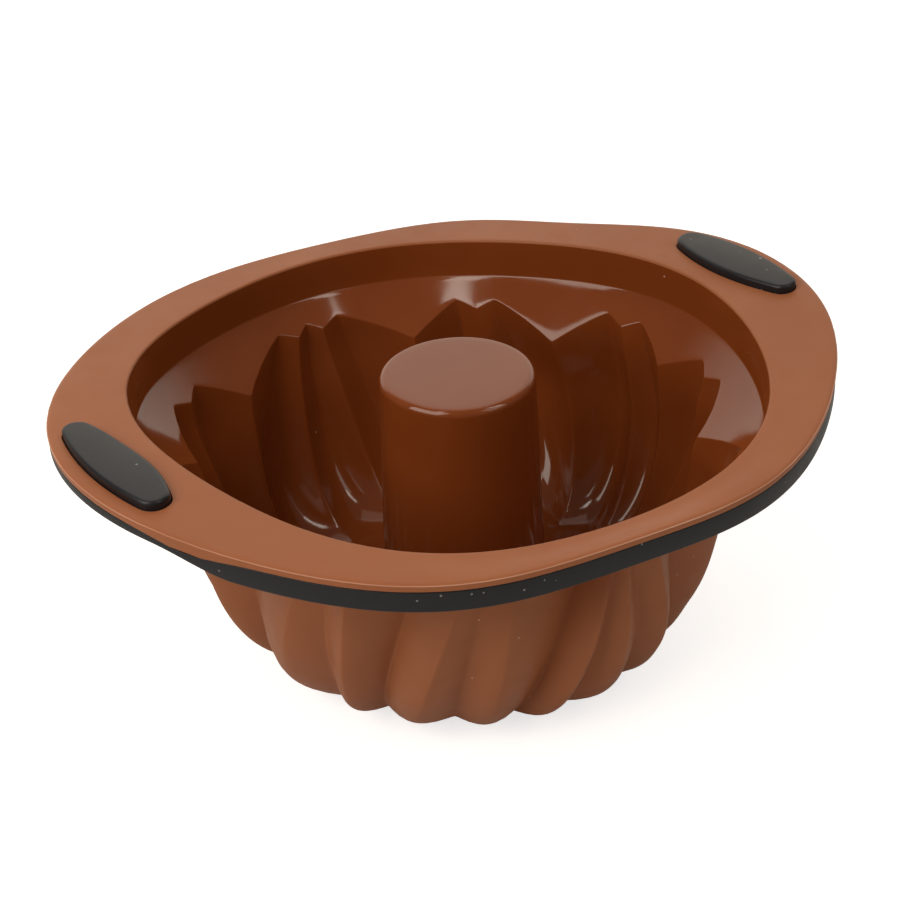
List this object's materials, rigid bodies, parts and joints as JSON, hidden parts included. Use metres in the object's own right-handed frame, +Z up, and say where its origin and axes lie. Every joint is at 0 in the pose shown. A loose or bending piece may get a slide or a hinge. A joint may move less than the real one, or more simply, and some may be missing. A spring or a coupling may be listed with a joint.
{
  "type": "silicone bundt pan with support frame",
  "caption": "Deep fluted silicone ring-cake mould with a centre tube, hung by its wide eared flange in a rigid black rim frame with raised lens-shaped grip pads.",
  "frame": {"origin": "middle of the base the pan stands on, on the axis of the centre tube", "axes": "+Z up out of the baking cavity, +X along the line through the two grip ears, towards the right grip pad"},
  "size_m": [0.2828, 0.2508, 0.1084],
  "materials": {
    "brown_silicone": "satin outside and on the flange, glossy inside",
    "black_nylon": "matte",
    "grip_black": "soft matte"
  },
  "bodies": {
    "frame": {"support_frame": "black_nylon", "grip_pad_right": "grip_black", "grip_pad_left": "grip_black"},
    "mould": {"silicone_mould": "brown_silicone"}
  },
  "joints": [
    {"name": "mould_lift", "type": "slide", "parent": "frame", "child": "mould", "axis": [0, 0, 1], "range_m": [0, 0.12]}
  ]
}
